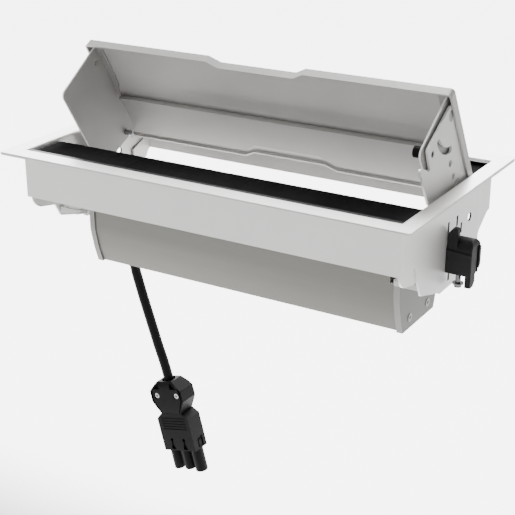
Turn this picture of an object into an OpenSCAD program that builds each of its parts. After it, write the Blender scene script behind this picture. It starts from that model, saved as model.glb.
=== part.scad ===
// Conference table socket unit, in millimetres. A rim drops into a cut-out in the
// table, a lid with its socket carrier swings down flush with the rim, brush strips
// let leads out on both long sides, and a trough underneath stores the slack.
// Z = 0 is the table top and the origin is the centre of the cut-out. X runs along
// the unit, and the user sits on the -Y side.

/* [Table frame] */
// Width of the rim at the two ends of the opening
rim_end = 15; // [12:0.5:30]
// Width of the rim along the two long sides of the opening
rim_long = 17.5; // [14:0.5:30]
// Thickness of the rim
rim_t = 2; // [1.5:0.25:3]
// Corner radius of the rim
rim_r = 5; // [2:0.5:10]
// Length of the opening inside the rim
open_l = 330; // [320:1:336]
// Width of the opening inside the rim
open_w = 164; // [158:1:170]
// Radius of the rolled edge round the opening
edge_r = 2.5; // [2:0.25:3.5]
// Sheet thickness of the frame walls
wall_t = 1.5; // [1:0.1:2]
// Depth of the long walls below the table top
skirt_h = 38; // [34:1:44]
// How far the tab of an end wall reaches below the long walls
tab_h = 38; // [34:1:46]
// Front edge of the tab, from the middle of the opening
tab_front = 46; // [42:1:50]
// Rear edge of the tab, from the middle of the opening
tab_rear = 60; // [54:1:66]
// How far the pressed middle field of an end wall stands out
field_h = 0.8; // [0.4:0.1:1.2]

/* [Brush strips] */
// Height of the aluminium channel that grips the bristles
channel_h = 5; // [4:0.5:7]
// Depth of that channel, across the opening
channel_w = 5; // [4:0.5:6]
// Top of the bristles below the rim top
brush_drop = 2.7; // [2.2:0.1:4]
// Spacing of the strands along the strip
strand_pitch = 2.6; // [2.5:0.1:4]
// Width of one strand
strand_w = 1.5; // [0.8:0.1:1.8]
// Thickness of one row of strands
strand_t = 1; // [0.6:0.1:1.4]

/* [Lid] */
// Width of the lid, front to back
lid_w = 112; // [106:1:114]
// Gap between the lid and the end walls
lid_side_gap = 1.2; // [0.8:0.1:1.6]
// Sheet thickness of the lid
lid_t = 1.5; // [1:0.1:2]
// Depth of the front and side flanges of the lid
flange_h = 7; // [5:0.5:8]
// Depth of the rear flange of the lid
rear_flange_h = 3.5; // [3:0.5:5]
// Half length of a finger notch at the edge of the lid
notch_outer = 43.7; // [40:0.5:60]
// Half length of a finger notch at its bottom
notch_inner = 33.8; // [25:0.5:38]
// Depth of a finger notch
notch_d = 5.5; // [4:0.5:7]
// Corner radius of the lid
lid_r = 3; // [2:0.5:5]

/* [Carrier] */
// Angle by which the carrier stands open
open_angle = 58.4; // [50:0.2:62]
// Distance of the pivot behind the middle of the opening
pivot_y = 39; // [37:0.5:41]
// Distance of the pivot below the rim top
pivot_drop = 14.6; // [14:0.1:16]
// Sheet thickness of the carrier bracket
cap_t = 1.5; // [1:0.1:1.8]
// Depth of the end caps below the pivot, with the lid shut
cap_depth = 43.7; // [38:0.1:44.5]
// Top front corner of the end caps, measured from the pivot
cap_front = 90; // [88:0.5:91]
// How far the front edge of the end caps leans back towards its foot
cap_lean = 2.8; // [1:0.2:5]
// Corner radius of the end caps
cap_r = 5.5; // [3:0.5:8]
// Front edge of the web, measured from the pivot
web_front = 36; // [30:0.5:40]
// Bend radius of the web's front edge
web_bend = 4; // [3:0.5:5]
// Rear edge of the web, measured from the pivot
web_back = 10; // [8:0.5:13]
// Depth of the notch in the rear edge of the web
web_notch = 8.2; // [6:0.2:9]
// Half length of that notch at its bottom
web_notch_in = 30.7; // [25:0.1:34]
// Width of the arms that run forward from the web along the end caps
arm_w = 8; // [6:0.5:10]
// Length over which the arms narrow towards the web
arm_taper = 22; // [16:1:26]

/* [Side plates] */
// Thickness of the side plates
plate_t = 1.8; // [1.5:0.1:2]
// Gap between a side plate and its end cap
plate_gap = 1.1; // [0.8:0.1:1.3]
// Lower edge of the side plates below the pivot, with the lid shut
plate_depth = 53.1; // [50:0.1:56]
// Top screw of a side plate, in front of the pivot
screw_t = 77.2; // [74:0.2:78]
// Top screw of a side plate, above the pivot
screw_n = 5.2; // [4.6:0.1:5.4]
// Radius of the curved slot about the top screw
slot_r = 25.6; // [22:0.2:28]
// Width of the curved slot
slot_w = 5.4; // [4:0.2:6]
// Radius of the two locating holes about the top screw
locate_r = 36.8; // [35:0.2:38]
// Angle of the front locating hole below level
locate_a1 = 87; // [84:1:90]
// Angle of the rear locating hole below level
locate_a2 = 26; // [20:1:32]
// Bore radius of the locating holes
locate_bore = 2.5; // [2:0.1:3]

/* [Pivots] */
// Radius of a pivot pin
pin_r = 2.5; // [2:0.1:3]
// Outer radius of a pivot bush
bush_r = 3.6; // [3.4:0.1:4]
// Running clearance of the pins in the bushes
run_gap = 0.05; // [0.02:0.01:0.1]
// How far a pivot pin stands out inside its end cap
pin_out = 5; // [3:0.5:7]
// Radius of the weld flange of a pivot pin
pin_flange_r = 4.2; // [3.8:0.1:4.4]

/* [Trough] */
// Gap between each end of the trough and the end wall
trough_gap = 20.5; // [16:0.5:26]
// Half width of the trough at its mouth
trough_hw = 36.2; // [33:0.2:39]
// Half width of the trough at its floor
floor_hw = 27.5; // [24:0.5:31]
// Mouth of the trough below the table top
trough_top = 58; // [57:0.5:62]
// Floor of the trough below the table top
trough_bottom = 108.3; // [100:0.1:125]
// Centre line of the trough behind the middle of the opening
trough_y = 4.2; // [2:0.2:6]
// Wall thickness of the trough
trough_t = 1.5; // [1.2:0.1:2]
// Width of the strip that laps over each end of the trough
lap_w = 5; // [3:0.5:8]
// Thickness of the end caps of the trough
lap_t = 1; // [0.8:0.1:1.5]
// Length of the screws of the trough's end caps
cap_screw_l = 9; // [7:0.5:12]

/* [Hangers] */
// Width of a hanger strip
hanger_h = 4; // [3.5:0.5:5]
// Thickness of a hanger strip
hanger_t = 1.5; // [1.2:0.1:2]
// Top of the hangers below the table top
hanger_top = 57.5; // [57:0.5:60]

/* [Table clamps] */
// Width of a clamp claw, front to back
claw_w = 16.7; // [15.5:0.1:18]
// Reach of a clamp claw from the end wall
claw_reach = 21; // [20:0.5:24]
// Underside of the claw below the table top
claw_bottom = 61.5; // [60:0.5:64]
// Crest of the claw below the table top
claw_top = 34; // [33:0.5:35]
// Ear of the claw above its crest, which bears on the table
tooth_h = 8.6; // [7.6:0.2:9]
// Wall thickness of the claw
claw_t = 2.2; // [1.8:0.1:2.4]
// Length of the leg below the outer front corner
claw_leg = 8.9; // [6:0.1:10]
// Centre line of the claws behind the middle of the opening
claw_y = 3.85; // [3:0.05:6]
// Radius of a clamp screw
clamp_r = 2.1; // [1.9:0.1:2.2]
// Head radius of a clamp screw
clamp_head_r = 4.3; // [4:0.1:4.6]
// Underside of the screw head below the table top
clamp_head_z = 71.8; // [71:0.2:76]
// Distance of the screw from the end wall
clamp_out = 8.4; // [8:0.1:9]

/* [Supply lead] */
// Diameter of the lead
cord_d = 8.7; // [7:0.1:9.5]
// Distance of the gland from the left-hand end of the trough
gland_inset = 17.5; // [15:0.5:22]
// Radius of the gland body
gland_r = 8; // [7:0.25:9]
// How far the tapered gland stands below the trough
gland_h = 12.3; // [10:0.1:12.4]
// Width of the plug
plug_w = 35.8; // [34:0.1:38]
// Depth of the plug body, front to back
plug_d = 17.4; // [16:0.1:19]
// Length of the plug from the lead entry to the root of its shrouds
plug_l = 65.4; // [63:0.2:70]
// Length of the cover that clamps the lead
head_l = 28.5; // [27:0.1:30]
// Width of the waist between the cover and the body
waist_w = 23; // [20:0.5:26]
// How far the cover stands proud of the body
head_step = 0.7; // [0.4:0.1:1]
// Length of the contact shrouds
shroud_l = 21; // [18:0.5:23]
// Outer radius of the contact shrouds
shroud_r = 5.2; // [4.8:0.1:5.4]
// Height of one grip rib, groove included
rib_pitch = 2.65; // [2.4:0.05:2.8]

/* [Hidden] */
$fn = 48;

// Clearance of parts that lie against each other
seat_gap = 0.1;
// Clearance between parts that pass each other without touching
pass_gap = 0.3;

// Places on the frame
open_x = open_l / 2;
open_y = open_w / 2;
wall_x = open_x + wall_t;
wall_y = open_y + wall_t;
tab_z = skirt_h + tab_h;
rim_l = open_l + 2 * rim_end;
rim_w = open_w + 2 * rim_long;

// Places on the carrier, as (t, n) from the pivot with the lid shut:
// t runs to the back and n runs up
pivot_z = rim_t - pivot_drop;
lid_l = open_l - 2 * lid_side_gap;
lid_front = -lid_w / 2 - pivot_y;
lid_back = lid_w / 2 - pivot_y;
lid_top = pivot_drop;
lid_under = lid_top - lid_t;
plate_x = lid_l / 2 - lid_t - pass_gap;
cap_x = plate_x - plate_t - plate_gap;
web_top = lid_under - seat_gap;
locate_front = [-screw_t + locate_r * cos(locate_a1), screw_n - locate_r * sin(locate_a1)];
locate_rear = [-screw_t + locate_r * cos(locate_a2), screw_n - locate_r * sin(locate_a2)];

// The brushes stop short of everything that swings past them
sweep_r = norm([screw_t + 3.2, plate_depth]);
brush_z = rim_t - brush_drop;
brush_low = brush_z - 2 * strand_t - pivot_z;
brush_front = sqrt(sweep_r * sweep_r - brush_low * brush_low) - pivot_y + 2 * pass_gap;
lid_corner_r = norm([lid_back, lid_top]);
brush_rear = sqrt(lid_corner_r * lid_corner_r - brush_low * brush_low) + pivot_y + 2 * pass_gap;

function arc(c, r, from, to, steps = 8) =
    [for (i = [0:steps]) let (a = from + (to - from) * i / steps) c + r * [cos(a), sin(a)]];
function shift(points, v) = [for (p = points) p + v];

module rounded(w, h, r) {
    square([w - 2 * r, h], center = true);
    square([w, h - 2 * r], center = true);
    for (x = [-1, 1], y = [-1, 1]) translate([x * (w / 2 - r), y * (h / 2 - r)]) circle(r);
}

// Turns a part that is drawn with the lid shut up to where it stands open
module swung() translate([0, pivot_y, pivot_z]) rotate([-open_angle, 0, 0]) children();

// Stands an outline of (t, n) points between two places along X
module slab(x0, x1) translate([x0, 0, 0]) rotate([90, 0, 90]) linear_extrude(x1 - x0) children();

module mirrored(side) mirror([side == "left" ? 1 : 0, 0, 0]) children();

// Table frame: folded steel sheet, rim and walls in one welded piece
function rim_profile(overlap, depth) = concat(
    [[0, -depth], [0, rim_t - edge_r]],
    arc([edge_r, rim_t - edge_r], edge_r, 180, 90, 6),
    [[overlap - 0.8, rim_t], [overlap, rim_t - 0.8], [overlap, 0], [wall_t, 0], [wall_t, -depth]]);

module rim_side(length, half_gap, overlap, depth) {
    reach = overlap + 1;
    intersection() {
        translate([-length / 2 - reach, 0, 0])
            rotate([90, 0, 90])
                linear_extrude(length + 2 * reach)
                    polygon(shift(rim_profile(overlap, depth), [half_gap, 0]));
        translate([0, 0, -depth - 1])
            linear_extrude(depth + rim_t + 2)
                polygon([[-length / 2, half_gap], [length / 2, half_gap],
                    [length / 2 + reach, half_gap + reach], [-length / 2 - reach, half_gap + reach]]);
    }
}

module wall_outline() {
    polygon(concat(
        [[-wall_y, -2], [-wall_y, -skirt_h], [-tab_front - 12, -skirt_h - 1.2],
            [-tab_front - 6.4, -skirt_h - 15.4]],
        arc([-tab_front + 2, -skirt_h - 25.5], 2.5, 200, 250, 4),
        [[-16, -tab_z + 2], [-13, -tab_z], [19, -tab_z], [tab_rear, -skirt_h - 20.4],
            [tab_rear + 0.6, -skirt_h - 13.5], [wall_y - 5, -skirt_h - 1], [wall_y, -skirt_h], [wall_y, -2]]));
}

module end_wall() {
    plain_h = 8;
    difference() {
        intersection() {
            union() {
                // Plain strip under the rim, and the sheet with its middle field pressed out below it
                translate([open_x, -wall_y, -plain_h]) cube([wall_t, 2 * wall_y, plain_h]);
                translate([0, 0, -tab_z - 1])
                    linear_extrude(tab_z + 1 - plain_h)
                        polygon([[open_x, -wall_y], [wall_x, -wall_y], [wall_x, -45], [wall_x + field_h, -20],
                            [wall_x + field_h, 57], [wall_x, 64], [wall_x, wall_y], [open_x, wall_y],
                            [open_x, 64 - 0.5], [open_x + field_h, 57 - 0.5], [open_x + field_h, -20 + 0.5],
                            [open_x, -45 + 0.5]]);
            }
            slab(open_x - 1, wall_x + 2) wall_outline();
        }
        // Vertical slots, a round hole and a small window, punched through
        for (p = [[-2.4, -26.5], [14, -26.5], [22.7, -34.5]])
            translate([open_x + 1, p[0], p[1]]) cube([8, 2.2, 7.5], center = true);
        translate([open_x - 2, pivot_y, -30.9]) rotate([0, 90, 0]) cylinder(h = 8, r = 3.1);
        translate([open_x + 1, 3, -67.5]) cube([8, 2.2, 5], center = true);
    }
}

// Gussets close the lower corners between the long walls and the end walls
module gusset(x) {
    difference() {
        gusset_sheet(x);
        // Small slot near the tab
        translate([x - 1, -51.8, -53.3]) rotate([-12, 0, 0]) cube([6, 4, 1.2], center = true);
    }
}

module gusset_sheet(x) {
    slab(x - wall_t, x) {
        polygon(concat([[-open_y, -skirt_h + 14], [-open_y, -skirt_h]],
            arc([-open_y + 14, -skirt_h], 12.5, 180, 262, 8),
            [[-tab_front - 4.6, -skirt_h - 16.1], [-tab_front - 12, -skirt_h + 4]]));
        polygon([[open_y, -skirt_h + 14], [open_y, -skirt_h], [open_y - 3, -skirt_h - 2],
            [open_y - 6, -skirt_h - 7], [open_y - 13, -skirt_h - 10],
            [tab_rear - 3, -skirt_h - 12], [tab_rear - 3, -skirt_h + 4]]);
    }
}

// Ear bent out of the end wall that carries the nut of the clamp
lug_top = claw_top + 10;
lug_t = 2;
lug_hw = 4.6;
module clamp_lug() {
    difference() {
        translate([wall_x, claw_y - lug_hw, -lug_top - lug_t]) cube([clamp_out + lug_hw, 2 * lug_hw, lug_t]);
        translate([wall_x + clamp_out, claw_y, -lug_top - lug_t - 1])
            cylinder(h = lug_t + 2, r = clamp_r + 0.3);
    }
}

module table_frame() color("whitesmoke") {
    intersection() {
        union() {
            for (a = [0, 180]) rotate([0, 0, a]) rim_side(open_l, open_y, rim_long, skirt_h);
            for (a = [90, 270]) rotate([0, 0, a]) rim_side(open_w, open_x, rim_end, 6);
        }
        translate([0, 0, -skirt_h - 5]) linear_extrude(skirt_h + 10) rounded(rim_l, rim_w, rim_r);
    }
    for (side = ["left", "right"]) mirrored(side) {
        end_wall();
        gusset(open_x);
        clamp_lug();
    }
}

// Brush strip: two staggered rows of strands that grow out of one backing
brush_l = open_l - 2 * pass_gap;
backing_w = channel_w - 1.2;
function comb_row(length, tip, phase) = let (
    count = floor(length / strand_pitch) - 1,
    x0 = -count * strand_pitch / 2 + phase) concat(
    [[-length / 2, 0], [-length / 2, backing_w]],
    [for (i = [0:count - 1]) let (x = x0 + i * strand_pitch, lean = 0.35 * sin(67 * i),
        l = tip - 0.8 * pow(sin(41 * i), 2))
        each [[x, backing_w], [x + lean, l], [x + lean + strand_w, l], [x + strand_w, backing_w]]],
    [[length / 2, backing_w], [length / 2, 0]]);

module brush(reach) {
    for (row = [0, 1])
        translate([0, 0, -strand_t * (row + 1)])
            linear_extrude(strand_t)
                polygon(comb_row(brush_l, reach, row * strand_pitch / 2));
}

module front_brush() color("black")
    translate([0, -open_y + 1, brush_z]) brush(open_y - 1 - brush_front);

module rear_brush() color("black")
    translate([0, open_y - 1, brush_z]) mirror([0, 1, 0]) brush(open_y - 1 - brush_rear);

// Folded aluminium channel that grips the backing of a brush, fixed under the rim edge
module brush_channel() {
    grip = 2 * strand_t + 2 * seat_gap;
    translate([-brush_l / 2, 0, 0])
        rotate([90, 0, 90])
            linear_extrude(brush_l)
                difference() {
                    translate([seat_gap, brush_z - strand_t - channel_h / 2]) square([channel_w, channel_h]);
                    translate([1 - seat_gap, brush_z - 2 * strand_t - seat_gap]) square([channel_w, grip]);
                }
}

module front_brush_channel() color("dimgray") translate([0, -open_y, 0]) brush_channel();
module rear_brush_channel() color("dimgray") translate([0, open_y, 0]) mirror([0, 1, 0]) brush_channel();

// Lid: folded pan with a finger notch in both long edges
notch_run = notch_outer - notch_inner;
notch_k = (norm([notch_run, notch_d]) - notch_run) / notch_d;
function notch(d) = [[-notch_outer - notch_k * d, d], [-notch_inner - notch_k * d, notch_d + d],
    [notch_inner + notch_k * d, notch_d + d], [notch_outer + notch_k * d, d]];
function flipped(points) = [for (i = [len(points) - 1:-1:0]) [points[i][0], -points[i][1]]];
function lid_corner(x, t, from, d) = arc([x * (lid_l / 2 - lid_r), t], lid_r - d, from, from + 90, 4);
function lid_outline(d) = concat(
    lid_corner(-1, lid_front + lid_r, 180, d), shift(notch(d), [0, lid_front]),
    lid_corner(1, lid_front + lid_r, 270, d), lid_corner(1, lid_back - lid_r, 0, d),
    shift(flipped(notch(d)), [0, lid_back]), lid_corner(-1, lid_back - lid_r, 90, d));

module lid() color("lightgray") swung() {
    translate([0, 0, lid_under]) linear_extrude(lid_t) polygon(lid_outline(0));
    difference() {
        translate([0, 0, lid_top - flange_h])
            linear_extrude(flange_h - lid_t / 2)
                difference() {
                    polygon(lid_outline(0));
                    polygon(lid_outline(lid_t));
                }
        translate([-lid_l / 2 + lid_t, lid_back - notch_d - 3 * lid_t, lid_top - flange_h - 1])
            cube([lid_l - 2 * lid_t, notch_d + 4 * lid_t, flange_h - rear_flange_h + 1]);
    }
}

// Carrier bracket: web under the lid and an end cap at each end, bent from one sheet
cap_foot = cap_front - cap_lean;
cap_outline = concat(
    [[-cap_front, lid_under - 2.3]],
    arc([-cap_foot + cap_r, -cap_depth + cap_r], cap_r, 180, 270, 6),
    [[2, -cap_depth], [7, web_top - cap_t / 2], [-cap_front, web_top - cap_t / 2]]);

module web_outline() {
    notch_out = web_notch_in + 11.6;
    difference() {
        translate([-cap_x, -web_front + web_bend]) square([2 * cap_x, web_back + web_front - web_bend]);
        polygon([[-notch_out - 2, web_back + 2], [-notch_out, web_back], [-web_notch_in, web_back - web_notch],
            [web_notch_in, web_back - web_notch], [notch_out, web_back], [notch_out + 2, web_back + 2]]);
    }
    // Arms along the end caps, narrowed where they meet the web
    for (s = [-1, 1])
        polygon([for (p = [[0, -cap_front], [arm_w, -cap_front], [arm_w, -web_front - arm_taper],
            [arm_w - 1, -web_front - arm_taper / 2], [arm_w - 3.6, -web_front - 5], [arm_w - 3.6, -web_front + 1],
            [arm_w - 3.6, -web_front + web_bend + 1], [0, -web_front + web_bend + 1]]) [s * (cap_x - p[0]), p[1]]]);
}

module carrier_bracket() color("silver") swung() {
    difference() {
        union() {
            translate([0, 0, web_top - cap_t]) linear_extrude(cap_t) web_outline();
            // Rolled front edge of the web
            slab(-cap_x + arm_w - 3, cap_x - arm_w + 3)
                polygon(concat(
                    arc([-web_front + web_bend, web_top - web_bend], web_bend, 90, 180, 6),
                    [[-web_front, web_top - web_bend - 2], [-web_front + cap_t, web_top - web_bend - 2]],
                    arc([-web_front + web_bend, web_top - web_bend], web_bend - cap_t, 180, 90, 6)));
            for (x = [-cap_x, cap_x - cap_t]) slab(x, x + cap_t) polygon(cap_outline);
        }
        slab(-cap_x - 1, cap_x + 1) circle(pin_r + run_gap);
        slab(-cap_x - 1, cap_x + 1) translate([-screw_t, screw_n]) circle(2.1);
        slab(cap_x - cap_t - 1, cap_x + 1) translate(locate_front) circle(locate_bore);
    }
}

// Side plates: they carry the end caps and turn on the pivots
plate_head_r = 7.6;
module plate_outline() {
    boss_r = 9;
    polygon(concat(
        arc([-screw_t, screw_n], plate_head_r, 90, 180, 8),
        [[-screw_t - plate_head_r, -36], [-screw_t - plate_head_r + 1.5, -37.4], [-68.4, -39.4]],
        arc([-70.6, -41.4], 2.2, 20, -110, 5),
        [[-78.4, -48.6], [-80.2, -50.6]],
        [[-80.4, -plate_depth + 0.8], [-79.6, -plate_depth], [-46, -plate_depth], [-38, -plate_depth + 3]],
        arc([0, 0], boss_r, -140, 70, 12),
        [[-20, screw_n + plate_head_r]]));
}

// The left plate has no lobe and stays behind its end cap
module short_plate_outline() {
    boss_r = 5.6;
    polygon(concat(
        arc([-screw_t, screw_n], plate_head_r, 90, 180, 8),
        arc([-screw_t - plate_head_r + 4, -34], 4, 180, 270, 4),
        [[-38, -38]],
        arc([0, 0], boss_r, -140, 70, 12),
        [[-20, screw_n + plate_head_r]]));
}

module curved_slot() {
    for (a = [-86, -28]) translate(slot_r * [cos(a), sin(a)]) circle(slot_w / 2);
    polygon(concat(arc([0, 0], slot_r + slot_w / 2, -86, -28, 12), arc([0, 0], slot_r - slot_w / 2, -28, -86, 12)));
}

module side_plate(side) color("gainsboro") swung() mirrored(side) {
    difference() {
        slab(plate_x - plate_t, plate_x)
            difference() {
                if (side == "right") plate_outline();
                else short_plate_outline();
                circle(bush_r + run_gap);
                translate([-screw_t, screw_n]) circle(2.6);
                translate([-screw_t, screw_n]) curved_slot();
                translate(locate_front) circle(locate_bore);
                translate(locate_rear) circle(locate_bore + 0.2);
                translate([-30.1, -10.8]) circle(locate_bore);
                translate([-23.2, -12]) square([2.2, 7.2]);
            }
        // Countersink of the top screw
        translate([plate_x - 1.3, -screw_t, screw_n]) rotate([0, 90, 0]) cylinder(h = 1.4, r1 = 3.1, r2 = 4.5);
    }
}

// Top studs: countersunk in the side plate, and the right one stands out inside the cap
module plate_stud(side) color("silver") swung() mirrored(side) {
    tail = side == "right" ? 5 : 0.6;
    translate([cap_x - cap_t - tail, -screw_t, screw_n])
        rotate([0, 90, 0])
            cylinder(h = plate_x - cap_x + cap_t + tail - 0.2, r = 2.05);
    translate([plate_x - 1.2, -screw_t, screw_n]) rotate([0, 90, 0]) cylinder(h = 1.1, r1 = 3, r2 = 4.1);
    // Spacer between the plate and the cap
    translate([cap_x + seat_gap, -screw_t, screw_n])
        rotate([0, 90, 0])
            cylinder(h = plate_gap - 2 * seat_gap, r = 4);
}

// Black buffer on the right end cap, where a socket insert comes to rest
module stop_buffer() color("black") swung() {
    inner = cap_x - cap_t;
    translate([inner - seat_gap - 9.5, locate_front[0], locate_front[1]])
        rotate([0, 90, 0])
            cylinder(h = 9.5, r = 4.25);
    translate([inner - 2, locate_front[0], locate_front[1]])
        rotate([0, 90, 0])
            cylinder(h = plate_x - inner + 1.5, r = locate_bore - run_gap);
}

// Pivots: a stud welded to the inside of the end wall, with a bush that turns on it
module pivot_pin(side) color("silver") mirrored(side) translate([0, pivot_y, pivot_z]) rotate([0, 90, 0]) {
    weld_x = open_x + field_h - seat_gap;
    translate([0, 0, cap_x - cap_t - pin_out]) cylinder(h = weld_x - cap_x + cap_t + pin_out, r = pin_r);
    translate([0, 0, open_x + seat_gap]) cylinder(h = weld_x - open_x - seat_gap, r = pin_flange_r);
}

module pivot_bush(side) color("white") mirrored(side) translate([0, pivot_y, pivot_z]) rotate([0, 90, 0])
    translate([0, 0, cap_x + seat_gap])
        difference() {
            cylinder(h = open_x - cap_x - 2 * seat_gap, r = bush_r);
            translate([0, 0, -1]) cylinder(h = 20, r = pin_r + run_gap);
        }

// Spring washers press on the side plates, so that the carrier stays where it is put
module spring_washer(side) color("darkgray") mirrored(side) translate([0, pivot_y, pivot_z]) rotate([0, 90, 0])
    translate([0, 0, plate_x + seat_gap])
        difference() {
            cylinder(h = open_x - plate_x - 2 * seat_gap, r1 = 5, r2 = 6);
            translate([0, 0, -1]) cylinder(h = 20, r = bush_r + run_gap);
        }

// Trough: a drawn profile with four screw ports, closed by a lapped cap at each end
trough_l = open_l - 2 * trough_gap;
trough_in = trough_l / 2 - lap_t - seat_gap;
function trough_section(o) = [[-trough_hw - o, -trough_top], [-trough_hw - o, -trough_top - 20],
    [-trough_hw + 1.8 - o, -trough_top - 28], [-trough_hw + 4.2 - o, -trough_top - 38],
    [-floor_hw - o, -trough_bottom - o], [floor_hw + o, -trough_bottom - o],
    [trough_hw - 4.2 + o, -trough_top - 38], [trough_hw - 1.8 + o, -trough_top - 28],
    [trough_hw + o, -trough_top - 20], [trough_hw + o, -trough_top]];
port_y = 16.5;
port_z = trough_bottom - 7.8;

module trough_ports(r) {
    for (y = [-port_y, port_y]) translate([y, -port_z]) circle(r);
}

// Notch in the front wall at the right-hand end, where leads can leave
notch_x = 136;
notch_z = 67;
module trough_notch() translate([notch_x, -trough_hw - 3, -notch_z]) cube([20, 7, 20]);

gland_x = -trough_l / 2 + gland_inset;
module trough() color("darkgray") translate([0, trough_y, 0]) difference() {
    slab(-trough_in, trough_in) {
        difference() {
            polygon(trough_section(0));
            translate([0, 0.01]) polygon(shift(trough_section(-trough_t), [0, 0]));
        }
        difference() {
            union() {
                trough_ports(3.4);
                for (y = [-port_y, port_y])
                    translate([y - 1.2, -trough_bottom + trough_t / 2]) square([2.4, 4.5]);
            }
            trough_ports(1.7);
        }
    }
    translate([gland_x, 0, -trough_bottom - 1]) cylinder(h = 20, r = gland_r - 1.6);
    trough_notch();
}

module trough_cap(side) color("gray") translate([0, trough_y, 0]) mirrored(side) difference() {
    union() {
        slab(trough_in + seat_gap, trough_l / 2) difference() {
            polygon(trough_section(lap_t + seat_gap));
            trough_ports(2.05);
        }
        slab(trough_l / 2 - lap_w, trough_in + seat_gap) difference() {
            polygon(trough_section(lap_t + seat_gap));
            translate([0, 0.02]) polygon(trough_section(seat_gap));
        }
    }
    translate([trough_l / 2 - 0.7, 0, 0])
        for (y = [-port_y, port_y])
            translate([0, y, -port_z]) rotate([0, 90, 0]) cylinder(h = 0.8, r1 = 2.1, r2 = 3.6);
    if (side == "right") translate([-lap_w - lap_t, 0, 0]) intersection() {
        trough_notch();
        translate([notch_x, -trough_hw - 3, -notch_z]) cube([13.5, 7, 20]);
    }
}

module trough_screws() color("silver") translate([0, trough_y, 0])
    for (side = ["left", "right"], y = [-port_y, port_y]) mirrored(side) translate([0, y, -port_z]) rotate([0, 90, 0]) {
        translate([0, 0, trough_l / 2 - cap_screw_l]) cylinder(h = cap_screw_l, r = 1.65);
        difference() {
            translate([0, 0, trough_l / 2 - 0.6]) cylinder(h = 1, r1 = 2.05, r2 = 3.5);
            translate([0, 0, trough_l / 2 + 0.3]) cube([3.6, 0.8, 1.2], center = true);
            translate([0, 0, trough_l / 2 + 0.3]) cube([0.8, 3.6, 1.2], center = true);
        }
    }

// Hangers: a bent strip, spot-welded to the tab of each end wall and to the trough's end
hang_out = open_x - seat_gap;
hang_step = hang_out + field_h;
hang_in = trough_l / 2 + seat_gap;
hang_front = -tab_front - 0.8;
hang_rear = tab_rear - 4;
foot_w = 10;
hook_y = -32;

module hanger(side) color("gainsboro") mirrored(side) {
    translate([0, 0, -hanger_top - hanger_h])
        linear_extrude(hanger_h)
            polygon([[hang_step, hang_rear - foot_w], [hang_step, hang_rear - 1], [hang_step - 1, hang_rear],
                [hang_in + 2, hang_rear], [hang_in, hang_rear - 2], [hang_in, hang_front + 2],
                [hang_in + 2, hang_front], [hang_out - 1, hang_front], [hang_out, hang_front + 1],
                [hang_out, hang_front + foot_w], [hang_out - hanger_t, hang_front + foot_w],
                [hang_out - hanger_t, hang_front + hanger_t + 1], [hang_out - hanger_t - 1, hang_front + hanger_t],
                [hang_in + hanger_t + 1, hang_front + hanger_t], [hang_in + hanger_t, hang_front + hanger_t + 1],
                [hang_in + hanger_t, hang_rear - hanger_t - 1], [hang_in + hanger_t + 1, hang_rear - hanger_t],
                [hang_step - hanger_t - 1, hang_rear - hanger_t], [hang_step - hanger_t, hang_rear - hanger_t - 1],
                [hang_step - hanger_t, hang_rear - foot_w]]);
    // Hook for a lead tie, bent down beside the trough's end
    translate([0, hook_y + hanger_t / 2, 0])
        rotate([90, 0, 0])
            linear_extrude(hanger_t)
                polygon(concat([[hang_in, -hanger_top - 0.5], [hang_in, -hanger_top - hanger_h - 2]],
                    arc([hang_in + 3.2, -hanger_top - hanger_h - 3], 2.6, 200, 350, 6),
                    [[hang_in + 6, -hanger_top - hanger_h], [hang_in + 4.6, -hanger_top - hanger_h],
                        [hang_in + 4.2, -hanger_top - hanger_h - 3], [hang_in + 2.4, -hanger_top - hanger_h - 3],
                        [hang_in + 1.6, -hanger_top - hanger_h - 1.4], [hang_in + hanger_t, -hanger_top - 0.5]]));
}

// Table clamps: a hollow claw that a screw draws up against the underside of the table
claw_x = wall_x + field_h + pass_gap;
claw_end = wall_x + claw_reach;
claw_front = claw_y - claw_w / 2;
claw_back = claw_y + claw_w / 2;
barrel_r = claw_w / 2;
barrel_z = -claw_top - barrel_r;
crown_r = 5;

// Outline from the side, with the wall thickness w taken off
module claw_section(w) {
    floor_z = w > 0 ? -claw_bottom + 2 : -claw_bottom;
    translate([claw_y, barrel_z]) circle(barrel_r - w);
    polygon([[claw_front + w, floor_z], [claw_back - 2.5 - w, floor_z], [claw_back - 2.5 - w, -claw_bottom + 3.5 + w / 3],
        [claw_back - w, -claw_bottom + 6 + w / 3], [claw_back - w, barrel_z], [claw_front + w, barrel_z]]);
}

module claw_body() intersection() {
    slab(claw_x, claw_end) claw_section(0);
    // The outer end of the crest is rounded off
    translate([0, claw_back + 1, 0])
        rotate([90, 0, 0])
            linear_extrude(claw_w + 2)
                polygon(concat([[claw_x - 1, -claw_bottom - 1], [claw_end, -claw_bottom - 1]],
                    arc([claw_end - crown_r, -claw_top - crown_r], crown_r, 0, 90, 6),
                    [[claw_x + 5, -claw_top], [claw_x - 1, -claw_top - 1.5]]));
}

// Ear beside the end wall that bears on the underside of the table
module claw_ear() translate([0, claw_front + 4, 0])
    rotate([90, 0, 0])
        linear_extrude(4)
            polygon([[claw_x + 0.4, barrel_z], [claw_x + 0.4, -claw_top + tooth_h - 4.9],
                [claw_x + 4.4, -claw_top + tooth_h], [claw_x + 7.4, -claw_top + tooth_h],
                [claw_x + 8.2, -claw_top + tooth_h - 1], [claw_x + 8.2, barrel_z]]);

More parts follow.
